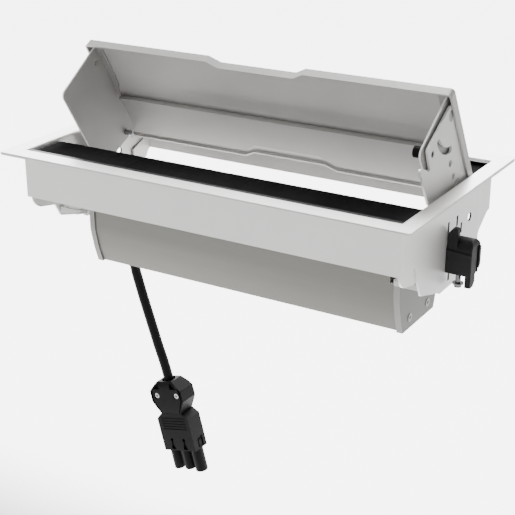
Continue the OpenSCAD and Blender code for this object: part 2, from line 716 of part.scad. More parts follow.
module clamp_claw(side) color("black") mirrored(side) difference() {
    union() {
        claw_body();
        claw_ear();
        // Leg below the outer front corner
        slab(claw_end - 4.4, claw_end)
            polygon([[claw_front, -claw_bottom + 1], [claw_front, -claw_bottom - claw_leg],
                [claw_front + 6, -claw_bottom - claw_leg], [claw_front + 9, -claw_bottom - claw_leg + 3],
                [claw_front + 9, -claw_bottom + 1]]);
        // Back cheek, which stands out a little past the body
        slab(claw_end - 6, claw_end + 0.8)
            polygon([[claw_back - 3.2, barrel_z + 3], [claw_back, barrel_z + 1], [claw_back, -claw_bottom + 6],
                [claw_back - 2.5, -claw_bottom + 3.5], [claw_back - 3.2, -claw_bottom + 3.5]]);
    }
    slab(claw_x - 1, claw_end - claw_t) claw_section(claw_t);
    // Upright groove in the outer side
    translate([claw_end - 0.8, claw_back - 6.7, -claw_bottom - 1]) cube([2, 3.5, claw_bottom - claw_top - 5]);
    translate([wall_x + clamp_out, claw_y, -claw_bottom - 1]) cylinder(h = 4, r = clamp_r + run_gap);
}

module clamp_screw(side) color("silver") mirrored(side) translate([wall_x + clamp_out, claw_y, 0]) {
    translate([0, 0, -clamp_head_z]) cylinder(h = clamp_head_z - lug_top + 3, r = clamp_r);
    // Collar that stays under the claw and carries it
    translate([0, 0, -claw_bottom + 2 + seat_gap]) cylinder(h = 1.4, r = clamp_r + 1.2);
    translate([0, 0, -clamp_head_z]) cylinder(h = 1.2, r = clamp_head_r);
    difference() {
        translate([0, 0, -clamp_head_z - 2.4]) cylinder(h = 2.5, r = clamp_head_r - 1.4);
        translate([0, 0, -clamp_head_z - 3.4]) cylinder(h = 2.6, r = 1.9, $fn = 6);
    }
}

module clamp_nut(side) color("silver") mirrored(side)
    translate([wall_x + clamp_out, claw_y, -lug_top - lug_t - seat_gap - 3.6]) difference() {
        cylinder(h = 3.6, r = 3.9, $fn = 6);
        translate([0, 0, -1]) cylinder(h = 6, r = clamp_r + run_gap);
    }

// Gland in the floor of the trough, tapered below to carry the bend of the lead
module gland_body() color("black") translate([gland_x, trough_y, -trough_bottom]) difference() {
    union() {
        translate([0, 0, -2.6 - seat_gap]) cylinder(h = 2.6, r = gland_r);
        translate([0, 0, -gland_h]) cylinder(h = gland_h - 2.6, r1 = cord_d / 2 + 1, r2 = gland_r - 0.6);
        translate([0, 0, -3]) cylinder(h = 3 + trough_t + 8, r = gland_r - 1.7);
    }
    translate([0, 0, -gland_h - 1]) cylinder(h = 40, r = cord_d / 2 + 0.15);
}

module gland_nut() color("black") translate([gland_x, trough_y, -trough_bottom + trough_t + seat_gap])
    difference() {
        cylinder(h = 4, r = gland_r + 1, $fn = 6);
        translate([0, 0, -1]) cylinder(h = 6, r = gland_r - 1.7 + run_gap);
    }

// Supply lead, swept along points chosen by hand
cord_route = [[-127, 4.2, -100], [-127, 4.2, -110], [-127, 4.2, -120.6], [-126, 4.2, -127], [-123, 4.2, -137], [-119, 4.2, -150],
    [-114, 4.2, -165], [-109, 4.2, -180], [-104, 4.2, -195], [-99, 4.2, -208.5], [-95.2, 4.2, -220.8], [-93.6, 4.2, -226.8],
    [-92.9, 4.2, -229.5]];
cord_sides = 12;
function curve_point(a, b, c, d, u) = 0.5 * ((2 * b) + (c - a) * u + (2 * a - 5 * b + 4 * c - d) * u * u
    + (3 * b - a - 3 * c + d) * u * u * u);
function smooth(points, parts) = let (last = len(points) - 1) concat(
    [for (i = [0:last - 1], k = [0:parts - 1])
        curve_point(points[max(i - 1, 0)], points[i], points[i + 1], points[min(i + 2, last)], k / parts)],
    [points[last]]);
function heading(path, i) = let (d = path[min(i + 1, len(path) - 1)] - path[max(i - 1, 0)]) d / norm(d);
function ring(c, dir, r) = let (u = [0, 1, 0], v = cross(dir, u))
    [for (k = [0:cord_sides - 1]) let (a = 360 * k / cord_sides) c + r * (cos(a) * u + sin(a) * v / norm(v))];

module tube(path, r) {
    n = len(path);
    m = cord_sides;
    points = [for (i = [0:n - 1]) each ring(path[i], heading(path, i), r)];
    faces = concat([[for (k = [m - 1:-1:0]) k]],
        [for (i = [0:n - 2], k = [0:m - 1])
            [i * m + k, i * m + (k + 1) % m, (i + 1) * m + (k + 1) % m, (i + 1) * m + k]],
        [[for (k = [0:m - 1]) (n - 1) * m + k]]);
    polyhedron(points, faces, convexity = 4);
}

module supply_cord() color("black") tube(cord_route, cord_d / 2);

// Plug: drawn hanging straight down from its lead entry, then tilted and turned
plug_entry = [-93.6, 4.2, -226.8];
module at_plug() translate(plug_entry) rotate([0, -14.7, 0]) rotate([0, 0, -2]) children();

// Gives an outline of (x, z) points a thickness, centred on the plug
module across(depth) translate([0, depth / 2, 0]) rotate([90, 0, 0]) linear_extrude(depth) children();

// Sinks an outline into the front of the cover or body
module sunk(face_y, depth) translate([0, face_y + depth, 0]) rotate([90, 0, 0]) linear_extrude(depth + 2) children();

collar_h = 2.2;
cover_y = -plug_d / 2 - head_step;
module cover_outline() polygon([[-8.6, collar_h], [8.6, collar_h], [12, -1], [plug_w / 2, -6.6],
    [plug_w / 2 + 0.2, -16.5], [waist_w / 2, -head_l], [-waist_w / 2, -head_l], [-plug_w / 2 - 0.2, -16.5],
    [-plug_w / 2, -6.6], [-12, -1]]);

module cover_profile() polygon([[-plug_d / 2 + 1.2, collar_h], [plug_d / 2 - 1.2, collar_h], [-cover_y, -3],
    [-cover_y, -21], [plug_d / 2, -head_l], [-plug_d / 2, -head_l], [cover_y, -21], [cover_y, -3]]);

clamp_screw_x = 11.2;
clamp_screw_z = -11.2;
recess_d = 1.8;
module plug_cover() color("black") at_plug() difference() {
    intersection() {
        across(plug_d + 2 * head_step) cover_outline();
        slab(-plug_w, plug_w) cover_profile();
    }
    // Entry of the lead, wider at its mouth
    translate([0, 0, -4]) cylinder(h = 10, r = cord_d / 2 + 0.15);
    translate([0, 0, -1.5]) cylinder(h = 10, r = cord_d / 2 + 1.9);
    for (s = [-1, 1]) {
        sunk(cover_y, recess_d) translate([s * clamp_screw_x, clamp_screw_z]) circle(2.9);
        // Groove round the keystone plate, and a pocket beside the tongue above it
        sunk(cover_y, 1.3) polygon([[s * 15.5, -6.2], [s * 16.6, -6.2], [s * 16.8, -16.2],
            [s * 10.9, -27.6], [s * 9.7, -27.6], [s * 15.6, -16]]);
        sunk(cover_y, 2.4) polygon([[s * 6.2, 0.8], [s * 10.8, -2], [s * 13.2, -4.6], [s * 6.2, -4.6]]);
    }
}

module keyhole() {
    circle(1.6);
    polygon([[-0.9, 0], [0.9, 0], [1, -4.6], [2.6, -9.4], [-2.6, -9.4], [-1, -4.6]]);
}

module plug_body() color("black") at_plug() difference() {
    union() {
        across(plug_d)
            polygon([[-waist_w / 2, -head_l - seat_gap], [waist_w / 2, -head_l - seat_gap],
                [plug_w / 2, -head_l - 5.3], [plug_w / 2, -plug_l], [-plug_w / 2, -plug_l],
                [-plug_w / 2, -head_l - 5.3]]);
        for (i = [-1, 0, 1]) shroud(i);
    }
    for (i = [0:4]) {
        translate([0.5, -plug_d / 2, -33.2 - i * rib_pitch]) cube([27, 1, 1.2], center = true);
        translate([0.5, plug_d / 2, -33.2 - i * rib_pitch]) cube([27, 1, 1.2], center = true);
    }
    for (s = [-1, 1]) {
        sunk(-plug_d / 2, 2.5) translate([s * 6.9, -plug_l + 10.6]) keyhole();
        // Latch pocket in each narrow side, with its tongue left standing
        difference() {
            translate([s * plug_w / 2, 1, -plug_l + 6.2]) cube([2.6, 7.4, 9.4], center = true);
            translate([s * (plug_w / 2 - 1.5), 1, -plug_l + 4.6]) cube([2, 3.6, 6.2], center = true);
        }
    }
    for (i = [-1, 0, 1]) translate([i * shroud_pitch, 0, -plug_l - shroud_l - 3]) cylinder(h = shroud_l + 1, r = 3);
}

// Round shroud of one contact; the right-hand one is wider and longer
shroud_pitch = plug_w / 2 - shroud_r;
module shroud(i) {
    r = i == 1 ? shroud_r + 0.4 : shroud_r;
    l = i == 1 ? shroud_l + 1.4 : shroud_l;
    translate([i * (plug_w / 2 - r), 0, -plug_l - l]) {
        cylinder(h = 0.8, r1 = r - 0.7, r2 = r);
        translate([0, 0, 0.8]) cylinder(h = l + 0.2, r = r);
    }
}

module plug_screws() color("silver") at_plug()
    for (s = [-1, 1]) translate([s * clamp_screw_x, cover_y + recess_d - seat_gap, clamp_screw_z])
        rotate([90, 0, 0])
            cylinder(h = 0.9, r = 2.4);

contact_l = 15;
module plug_contacts() color("silver") at_plug()
    for (i = [-1, 0, 1]) translate([i * shroud_pitch, 0, -plug_l - 2 - contact_l + seat_gap])
        cylinder(h = contact_l - 2 * seat_gap, r = 1.6);

table_frame();
front_brush();
rear_brush();
front_brush_channel();
rear_brush_channel();
lid();
carrier_bracket();
side_plate("left");  // side_plate_left
side_plate("right");  // side_plate_right
plate_stud("left");  // plate_stud_left
plate_stud("right");  // plate_stud_right
stop_buffer();
pivot_pin("left");  // pivot_pin_left
pivot_pin("right");  // pivot_pin_right
pivot_bush("left");  // pivot_bush_left
pivot_bush("right");  // pivot_bush_right
spring_washer("left");  // spring_washer_left
spring_washer("right");  // spring_washer_right
trough();
trough_cap("left");  // trough_cap_left
trough_cap("right");  // trough_cap_right
trough_screws();
hanger("left");  // hanger_left
hanger("right");  // hanger_right
clamp_claw("left");  // clamp_claw_left
clamp_claw("right");  // clamp_claw_right
clamp_screw("left");  // clamp_screw_left
clamp_screw("right");  // clamp_screw_right
clamp_nut("left");  // clamp_nut_left
clamp_nut("right");  // clamp_nut_right
gland_body();
gland_nut();
supply_cord();
plug_body();
plug_cover();
plug_screws();
plug_contacts();
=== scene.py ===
import math

import bmesh
import bpy
from mathutils import Matrix, Vector


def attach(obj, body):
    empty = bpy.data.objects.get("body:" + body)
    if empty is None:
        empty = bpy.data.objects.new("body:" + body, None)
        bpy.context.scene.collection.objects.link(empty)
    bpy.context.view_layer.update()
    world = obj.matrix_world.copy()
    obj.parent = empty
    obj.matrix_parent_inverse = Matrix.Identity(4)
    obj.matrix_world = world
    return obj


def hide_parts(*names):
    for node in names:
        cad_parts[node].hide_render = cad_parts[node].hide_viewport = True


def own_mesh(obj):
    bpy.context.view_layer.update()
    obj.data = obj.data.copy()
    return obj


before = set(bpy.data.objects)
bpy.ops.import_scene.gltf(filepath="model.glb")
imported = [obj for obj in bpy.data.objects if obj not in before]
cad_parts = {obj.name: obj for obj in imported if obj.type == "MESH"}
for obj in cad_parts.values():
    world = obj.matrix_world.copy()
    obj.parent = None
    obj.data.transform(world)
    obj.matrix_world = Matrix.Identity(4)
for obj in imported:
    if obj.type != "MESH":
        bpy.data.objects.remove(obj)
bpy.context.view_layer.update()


# Camera. It stands in front of the right-hand corner and looks down on the open
# lid, from where the edges of the frame, walls and trough were lined up.
def stand(name, data):
    """Puts a camera, curve, mesh or lamp into the scene."""
    made = bpy.data.objects.new(name, data)
    bpy.context.collection.objects.link(made)
    return made


camera_place = (0.47646, -0.78264, 0.28325)
azimuth = math.radians(31.14)
elevation = math.radians(22.01)
camera_data = bpy.data.cameras.new("photo_camera")
camera_data.sensor_width = 36
camera_data.lens = 84.28
camera_data.shift_x = -0.0031
camera_data.shift_y = 0.0027
camera_data.clip_start = 0.05
camera_data.clip_end = 40
camera = stand("photo_camera", camera_data)
backward = Vector((
    math.sin(azimuth) * math.cos(elevation),
    -math.cos(azimuth) * math.cos(elevation),
    math.sin(elevation)))
sideways = Vector((math.cos(azimuth), math.sin(azimuth), 0))
turned = Matrix((sideways, backward.cross(sideways), backward)).transposed().to_4x4()
camera.matrix_world = Matrix.Translation(camera_place) @ turned
bpy.context.scene.camera = camera


# Supply lead. A round flexible sheath over three cores, which hangs from the gland
# in the trough floor and leans a little towards the middle before its plug.
def linear_colour(text):
    """Turns an sRGB hex value into the linear colour that a socket takes."""
    channels = [int(text[i:i + 2], 16) / 255 for i in (1, 3, 5)]
    return tuple(c / 12.92 if c <= 0.04045 else ((c + 0.055) / 1.055) ** 2.4 for c in channels) + (1,)


def add(tree, kind, values=None, links=None, **settings):
    """Adds a node with its settings, the values of its sockets and the links into them."""
    made = tree.nodes.new(kind)
    for name, value in settings.items():
        setattr(made, name, value)
    for socket, value in (values or {}).items():
        made.inputs[socket].default_value = value
    for socket, source in (links or {}).items():
        tree.links.new(source, made.inputs[socket])
    return made


def surface(name, light, dark, grain_mm, rough, stretch=(1, 1, 1), relief_mm=0.0, **shader):
    """A finish whose colour wanders between two tones, with a grain of a real size. A grain that is
    too fine to show in the render, such as a moulded texture's, is drawn 0.8 to 1 mm wide instead."""
    clouds_per_metre = 22.0
    grain_share = 0.5
    darkest, lightest = 0.45, 1.05
    material = bpy.data.materials.new(name)
    material.use_nodes = True
    tree = material.node_tree
    tree.nodes.clear()
    place = add(tree, "ShaderNodeTexCoord")
    run = add(tree, "ShaderNodeMapping", {"Scale": stretch}, {"Vector": place.outputs["Object"]})
    grain = add(tree, "ShaderNodeTexNoise", {"Scale": 1000 / grain_mm, "Detail": 3.0, "Roughness": 0.6},
                {"Vector": run.outputs["Vector"]})
    cloud = add(tree, "ShaderNodeTexNoise", {"Scale": clouds_per_metre, "Detail": 2.0},
                {"Vector": run.outputs["Vector"]})
    blend = add(tree, "ShaderNodeMath", {1: grain_share},
                {0: grain.outputs["Fac"], 2: cloud.outputs["Fac"]}, operation="MULTIPLY_ADD")
    tone = add(tree, "ShaderNodeMapRange", {"From Min": darkest, "From Max": lightest},
               {"Value": blend.outputs["Value"]})
    colour = add(tree, "ShaderNodeMix", {6: linear_colour(dark), 7: linear_colour(light)},
                 {0: tone.outputs["Result"]}, data_type="RGBA")
    coat = add(tree, "ShaderNodeBsdfPrincipled", links={"Base Color": colour.outputs[2]})
    polish = add(tree, "ShaderNodeMapRange", {"To Min": rough[0], "To Max": rough[1]},
                 {"Value": grain.outputs["Fac"]})
    tree.links.new(polish.outputs["Result"], coat.inputs["Roughness"])
    for socket, value in shader.items():
        coat.inputs[socket.replace("_", " ")].default_value = value
    if relief_mm:
        relief = add(tree, "ShaderNodeBump", {"Strength": 1.0, "Distance": relief_mm / 1000},
                     {"Height": grain.outputs["Fac"]})
        tree.links.new(relief.outputs["Normal"], coat.inputs["Normal"])
    add(tree, "ShaderNodeOutputMaterial", links={"Surface": coat.outputs["BSDF"]})
    return material


# Flexible PVC, extruded: a soft satin black with long faint streaks.
sheath = surface("flexible_pvc_sheath", "#0c0c0d", "#070708", grain_mm=1.2, rough=(0.45, 0.58),
                 stretch=(1, 1, 0.15), relief_mm=0.04, Specular_IOR_Level=0.12)
lead_diameter = 0.0087
# Points listed: down through the gland, across towards the middle and into the plug.
route = [Vector(point) / 1000 for point in (
    (-127, 4.2, -100), (-127, 4.2, -110), (-127, 4.2, -120.6), (-126, 4.2, -127), (-123, 4.2, -137),
    (-119, 4.2, -150), (-114, 4.2, -165), (-109, 4.2, -180), (-104, 4.2, -195), (-99, 4.2, -208.5),
    (-95.2, 4.2, -220.8), (-93.6, 4.2, -226.8), (-92.9, 4.2, -229.5))]
plug_entry = route[-2]
# A smooth curve through them, with one more point halfway between each two.
lead_path = []
for i in range(len(route) - 1):
    before, here = route[max(i - 1, 0)], route[i]
    ahead, beyond = route[i + 1], route[min(i + 2, len(route) - 1)]
    for u in (0, 0.5):
        lead_path.append(0.5 * (
            2 * here + (ahead - before) * u
            + (2 * before - 5 * here + 4 * ahead - beyond) * u ** 2
            + (3 * here - before - 3 * ahead + beyond) * u ** 3))
lead_path.append(route[-1])
lead_curve = bpy.data.curves.new("supply_lead", "CURVE")
lead_curve.dimensions = "3D"
lead_curve.bevel_depth = lead_diameter / 2
lead_curve.bevel_resolution = 6
lead_curve.use_fill_caps = True
strand = lead_curve.splines.new("POLY")
strand.points.add(len(lead_path) - 1)
for point, spot in zip(strand.points, lead_path):
    point.co = (*spot, 1)
strand.use_smooth = True
lead = stand("supply_lead", lead_curve)
lead_curve.materials.append(sheath)
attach(lead, "frame")
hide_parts("supply_cord")

# Plug. A moulded body and cover in black nylon, held together by two screws, with
# three plated contacts in shrouds at its lower end.

# How a solid is copied: its corners are merged and its flat faces joined within these
# limits, and from these angles up its edges are broken and shaded crisp.
merge_within = 1e-6
flat_within = 0.01
broken_from = math.radians(35)
crisp_from = math.radians(34)


def dress(node, body, material, edge_mm, rounding=2):
    """Stands a copy of a node's solid in its place, with its sharp edges broken."""
    shell = bmesh.new()
    shell.from_mesh(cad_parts[node].data)
    bmesh.ops.remove_doubles(shell, verts=shell.verts, dist=merge_within)
    bmesh.ops.dissolve_limit(shell, angle_limit=flat_within, verts=shell.verts, edges=shell.edges)
    for face in shell.faces:
        face.smooth = True
    data = bpy.data.meshes.new(node + "_dressed")
    shell.to_mesh(data)
    shell.free()
    piece = stand(node + "_dressed", data)
    data.materials.append(material)
    edge = piece.modifiers.new("broken_edges", "BEVEL")
    edge.width = edge_mm / 1000
    edge.segments = rounding
    edge.limit_method = "ANGLE"
    edge.angle_limit = broken_from
    flat = piece.modifiers.new("flat_faces", "WEIGHTED_NORMAL")
    flat.keep_sharp = True
    data.set_sharp_from_angle(angle=crisp_from)
    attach(piece, body)
    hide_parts(node)
    return piece


# Glass-filled nylon, moulded with a fine texture: a matt black, drawn coarser than it is.
nylon = surface("moulded_black_nylon", "#0a0a0b", "#060607", grain_mm=0.9, rough=(0.5, 0.62),
                relief_mm=0.02, Specular_IOR_Level=0.1)
# Bright zinc plating on turned steel: blue-white and fairly smooth.
zinc_bright = surface("bright_zinc_plating", "#cfd0d0", "#b4b6b8", grain_mm=1.5, rough=(0.22, 0.34),
                      Metallic=1.0)
# Turned brass with a thin nickel flash: pale and warm.
contact_brass = surface("nickelled_brass", "#d8cfae", "#c0b58e", grain_mm=1.5, rough=(0.2, 0.3),
                        Metallic=1.0)
# The inside of a punched or pressed recess, painted dark: painted shade for the shade that falls in it.
painted_recess_shade = surface("painted_shade_in_recess", "#232322", "#1a1a19", grain_mm=1.0, rough=(0.6, 0.7))


def named_inputs(tree, sizes):
    """Gives a tree its geometry sockets and one input for each size, and tells their identifiers."""
    tree.interface.new_socket("Geometry", in_out="INPUT", socket_type="NodeSocketGeometry")
    tree.interface.new_socket("Geometry", in_out="OUTPUT", socket_type="NodeSocketGeometry")
    identifiers = {}
    for name, (kind, value) in sizes.items():
        socket = tree.interface.new_socket(name, in_out="INPUT", socket_type="NodeSocket" + kind)
        socket.default_value = value
        identifiers[name] = socket.identifier
    return identifiers


def grown(name, tree, values, points=()):
    """Runs a geometry tree once, on a few points if it needs them, and keeps a plain mesh."""
    points_mesh = bpy.data.meshes.new(name + "_seedling")
    points_mesh.from_pydata(points, [], [])
    seedling = stand(name + "_seedling", points_mesh)
    growth = seedling.modifiers.new("growth", "NODES")
    growth.node_group = tree
    for identifier, value in values.items():
        growth[identifier] = value
    bpy.context.view_layer.update()
    mesh = bpy.data.meshes.new_from_object(seedling.evaluated_get(bpy.context.evaluated_depsgraph_get()))
    mesh.name = name
    seedling.modifiers.remove(growth)
    bpy.data.objects.remove(seedling)
    return stand(name, mesh)


def cross_head_tree(metal, shade):
    """Stands a round screw head with a cross recess on each point; the cross is painted dark, as painted
    shade.
    """
    tree = bpy.data.node_groups.new("cross_head_screws", "GeometryNodeTree")
    inputs = named_inputs(tree, {
        "Head radius": ("Float", 0.0024),
        "Head height": ("Float", 0.0009),
        "Cross length": ("Float", 0.0028),
        "Cross width": ("Float", 0.0008),
        "Cross depth": ("Float", 0.0006),
        "Turn": ("Vector", (0, 0, 0)),
    })
    given = add(tree, "NodeGroupInput").outputs
    head = add(tree, "GeometryNodeMeshCylinder", {"Vertices": 32},
               {"Radius": given["Head radius"], "Depth": given["Head height"]})
    bar = add(tree, "ShaderNodeCombineXYZ", links={
        "X": given["Cross length"], "Y": given["Cross width"], "Z": given["Cross depth"]})
    arm = add(tree, "GeometryNodeMeshCube", links={"Size": bar.outputs[0]})
    top = add(tree, "ShaderNodeMath", {1: 0.5}, {0: given["Head height"]}, operation="MULTIPLY")
    lift = add(tree, "ShaderNodeCombineXYZ", links={"Z": top.outputs[0]})
    along = add(tree, "GeometryNodeTransform", links={
        "Geometry": arm.outputs["Mesh"], "Translation": lift.outputs[0]})
    across = add(tree, "GeometryNodeTransform", {"Rotation": (0, 0, math.pi / 2)},
                 {"Geometry": arm.outputs["Mesh"], "Translation": lift.outputs[0]})
    cut = add(tree, "GeometryNodeMeshBoolean", links={"Mesh 1": head.outputs["Mesh"]},
              operation="DIFFERENCE")
    for one in (along, across):
        shaded = add(tree, "GeometryNodeSetMaterial", {"Material": shade},
                     {"Geometry": one.outputs["Geometry"]})
        tree.links.new(shaded.outputs["Geometry"], cut.inputs["Mesh 2"])
    stood = add(tree, "GeometryNodeInstanceOnPoints", links={
        "Points": given["Geometry"], "Instance": cut.outputs["Mesh"], "Rotation": given["Turn"]})
    real = add(tree, "GeometryNodeRealizeInstances", links={"Geometry": stood.outputs["Instances"]})
    in_cross = add(tree, "GeometryNodeMaterialSelection", {"Material": shade})
    outside = add(tree, "FunctionNodeBooleanMath", links={0: in_cross.outputs["Selection"]},
                  operation="NOT")
    plated = add(tree, "GeometryNodeSetMaterial", {"Material": metal},
                 {"Geometry": real.outputs["Geometry"], "Selection": outside.outputs[0]})
    add(tree, "NodeGroupOutput", links={"Geometry": plated.outputs["Geometry"]})
    return tree, inputs


screw_tree, screw_inputs = cross_head_tree(zinc_bright, painted_recess_shade)
# The plug hangs from the end of the lead, leans with it and is turned a little about it.
plug_lean = math.radians(-14.7)
plug_twist = math.radians(-2)
plug_turn = Matrix.Rotation(plug_lean, 4, "Y") @ Matrix.Rotation(plug_twist, 4, "Z")
plug_place = Matrix.Translation(plug_entry) @ plug_turn
# Each cover screw, measured from the place where the lead enters the plug.
screw_aside = 0.0112
screw_front = -0.00806
screw_below = -0.0112
screw_turn = (plug_turn @ Matrix.Rotation(math.radians(90), 4, "X")).to_euler()
cover_screws = grown(
    "plug_cover_screws", screw_tree, {screw_inputs["Turn"]: tuple(screw_turn)},
    [tuple(plug_place @ Vector((x, screw_front, screw_below))) for x in (-screw_aside, screw_aside)])
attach(cover_screws, "frame")
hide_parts("plug_screws")
plug_parts = [
    dress("plug_body", "frame", nylon, edge_mm=0.5, rounding=3),
    dress("plug_cover", "frame", nylon, edge_mm=0.5, rounding=3),
    cover_screws,
    dress("plug_contacts", "frame", contact_brass, edge_mm=0.2),
]

# Gland. A moulded body through the floor of the trough, tapered below to carry the
# bend of the lead, and a nut that holds it from inside.
dress("gland_body", "frame", nylon, edge_mm=0.3)
dress("gland_nut", "frame", nylon, edge_mm=0.4)

# Table frame. Steel sheet, folded into a rim and four walls, welded at the corners
# and then coated in one piece.

# Powder coat: pale silver-grey, almost white where light falls on it, with a fine
# sparkle that is drawn coarser than it is.
powder = surface("pale_silver_powder_coat", "#e6e4e2", "#dfdddb", grain_mm=0.8, rough=(0.34, 0.42),
                 relief_mm=0.015, Metallic=0.6)
rim = dress("table_frame", "frame", powder, edge_mm=0.35, rounding=3)


def weigh_edges(shell, wanted):
    """Gives each edge between two faces that passes a test a full bevel weight."""
    weight = shell.edges.layers.float.new("bevel_weight_edge")
    for edge in shell.edges:
        if len(edge.link_faces) == 2 and wanted(edge):
            edge[weight] = 1


def recess(x_low, x_high, y, z, half_width, half_height):
    """Two corners of a box round a recess in the right-hand end, in millimetres."""
    return (x_low, y - half_width, z - half_height), (x_high, y + half_width, z + half_height)


def shade_recesses(piece, recesses, largest_mm2, shaded_roll_mm=0.0):
    """Paints the small faces inside some boxes, mirrored left to right, with the recess's painted shade,
    rolls the sheet's edge round them in that painted shade too and keeps the broken edges clear of them."""
    def clear_bend(edge):
        return (edge.calc_face_angle() > broken_from
                and all(face.material_index == 0 for face in edge.link_faces))

    piece.data.materials.append(painted_recess_shade)
    for face in piece.data.polygons:
        spot = (abs(face.center.x) * 1000, face.center.y * 1000, face.center.z * 1000)
        inside = any(
            all(low <= value <= high for low, value, high in zip(near, spot, far))
            for near, far in recesses)
        if inside and face.area * 1e6 < largest_mm2:
            face.material_index = 1
    shell = bmesh.new()
    shell.from_mesh(piece.data)
    weigh_edges(shell, clear_bend)
    if shaded_roll_mm:
        mouth = [edge for edge in shell.edges
                 if {face.material_index for face in edge.link_faces} == {0, 1}]
        bmesh.ops.bevel(shell, geom=mouth, offset=shaded_roll_mm / 1000, segments=2, profile=0.5,
                        affect="EDGES", material=1)
    shell.to_mesh(piece.data)
    shell.free()
    piece.modifiers["broken_edges"].limit_method = "WEIGHT"


# What is punched through each end wall, by its middle along Y and Z and a little over
# half its width and height: three upright slots, a round hole and a small window.
punched = [
    (-2.4, -26.5, 1.3, 3.9), (14, -26.5, 1.3, 3.9), (22.7, -34.5, 1.3, 3.9),
    (39, -30.9, 3.2, 3.2),
    (3, -67.5, 1.2, 2.6),
]
end_wall = (164.8, 168)
# Their insides, and a rolled rim round each, are painted dark: painted shade.
shade_recesses(rim, [recess(*end_wall, *hole) for hole in punched], largest_mm2=30, shaded_roll_mm=0.45)

# Brush strips. Black nylon bristles gripped in an aluminium channel under each long
# edge of the rim; they close the gap round the leads and bend as the lid passes.

# Aluminium with a black anodised skin: satin, with lines drawn along the strip.
channel_alu = surface("black_anodised_aluminium", "#1d1e1f", "#17181a", grain_mm=1.0, rough=(0.4, 0.52),
                      stretch=(0.05, 1, 1), relief_mm=0.01, Metallic=1.0)
dress("front_brush_channel", "frame", channel_alu, edge_mm=0.2)
dress("rear_brush_channel", "frame", channel_alu, edge_mm=0.2)
# Crimped nylon filament: deep black with a slight shine along each hair.
bristle_nylon = surface("black_nylon_filament", "#212122", "#070708", grain_mm=1.6, rough=(0.5, 0.65),
                        stretch=(1, 0.05, 1), Specular_IOR_Level=0.1)
# How far a bristle may stray from its place in the row and from lying level, which
# is a quarter turn down, how slim its tip is, and how short the shortest one is.
stray_low, stray_high = (-0.0002, -0.0003, -0.0006), (0.0002, 0.0003, 0.0002)
lean_low, lean_high = (-1.573, 0, -0.007), (-1.566, 0, 0.007)
tip_share = 0.85
shortest_share = 0.992


def bristle_tree(material):
    """Plants one row of bristles along X, which all point the same way from their root. Each is
    thicker than a real one and stands for a few."""
    tree = bpy.data.node_groups.new("brush_strip", "GeometryNodeTree")
    inputs = named_inputs(tree, {
        "Strip length": ("Float", 0.329),
        "Bristles": ("Int", 6400),
        "Bristle length": ("Float", 0.037),
        "Bristle radius": ("Float", 0.00024),
        "Root": ("Vector", (0, 0, 0)),
        "Turn": ("Float", 0.0),
        "Seed": ("Int", 1),
    })
    given = add(tree, "NodeGroupInput").outputs
    half = add(tree, "ShaderNodeMath", {1: -0.5}, {0: given["Strip length"]}, operation="MULTIPLY")
    start = add(tree, "ShaderNodeCombineXYZ", links={"X": half.outputs[0]})
    step = add(tree, "ShaderNodeMath", links={0: given["Strip length"], 1: given["Bristles"]},
               operation="DIVIDE")
    stride = add(tree, "ShaderNodeCombineXYZ", links={"X": step.outputs[0]})
    line = add(tree, "GeometryNodeMeshLine", links={
        "Count": given["Bristles"], "Start Location": start.outputs[0], "Offset": stride.outputs[0]},
        mode="OFFSET")
    stray = add(tree, "FunctionNodeRandomValue", {0: stray_low, 1: stray_high}, {"Seed": given["Seed"]},
                data_type="FLOAT_VECTOR")
    rooted = add(tree, "ShaderNodeVectorMath", links={0: stray.outputs[0], 1: given["Root"]},
                 operation="ADD")
    placed = add(tree, "GeometryNodeSetPosition", links={
        "Geometry": line.outputs["Mesh"], "Offset": rooted.outputs[0]})
    tip = add(tree, "ShaderNodeMath", {1: tip_share}, {0: given["Bristle radius"]}, operation="MULTIPLY")
    hair = add(tree, "GeometryNodeMeshCone", {"Vertices": 4, "Side Segments": 1, "Fill Segments": 1}, {
        "Radius Bottom": given["Bristle radius"], "Radius Top": tip.outputs[0],
        "Depth": given["Bristle length"]}, fill_type="TRIANGLE_FAN")
    sway = add(tree, "FunctionNodeRandomValue", {0: lean_low, 1: lean_high}, {"Seed": given["Seed"]},
               data_type="FLOAT_VECTOR")
    facing = add(tree, "ShaderNodeCombineXYZ", links={"Z": given["Turn"]})
    leaning = add(tree, "ShaderNodeVectorMath", links={0: sway.outputs[0], 1: facing.outputs[0]},
                  operation="ADD")
    uneven = add(tree, "FunctionNodeRandomValue", {2: shortest_share, 3: 1.0}, {"Seed": given["Seed"]},
                 data_type="FLOAT")
    size = add(tree, "ShaderNodeCombineXYZ", {"X": 1.0, "Y": 1.0}, {"Z": uneven.outputs[1]})
    planted = add(tree, "GeometryNodeInstanceOnPoints", links={
        "Points": placed.outputs["Geometry"], "Instance": hair.outputs["Mesh"],
        "Rotation": leaning.outputs[0], "Scale": size.outputs[0]})
    real = add(tree, "GeometryNodeRealizeInstances", links={"Geometry": planted.outputs["Instances"]})
    painted = add(tree, "GeometryNodeSetMaterial", {"Material": material},
                  {"Geometry": real.outputs["Geometry"]})
    add(tree, "NodeGroupOutput", links={"Geometry": painted.outputs["Geometry"]})
    return tree, inputs


brush_tree, brush_inputs = bristle_tree(bristle_nylon)
opening_half_width = 0.082
root_inset = 0.001
root_drop = 0.0022
# Each strip's piece, node and side of the opening, how far its bristles reach, what
# share of that is left when the lid has swung past, and the seed of its small strays.
for strip, node, side, reach, keep, seed in (
        ("front_bristles", "front_brush", -1, 0.0405, 0.6, 3),
        ("rear_bristles", "rear_brush", 1, 0.031, 0.76, 8)):
    piece = grown(strip, brush_tree, {
        brush_inputs["Bristle length"]: reach,
        brush_inputs["Root"]: (0, side * (opening_half_width - root_inset), -root_drop),
        brush_inputs["Turn"]: math.pi if side > 0 else 0.0,
        brush_inputs["Seed"]: seed})
    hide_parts(node)
    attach(piece, "frame")
    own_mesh(piece)
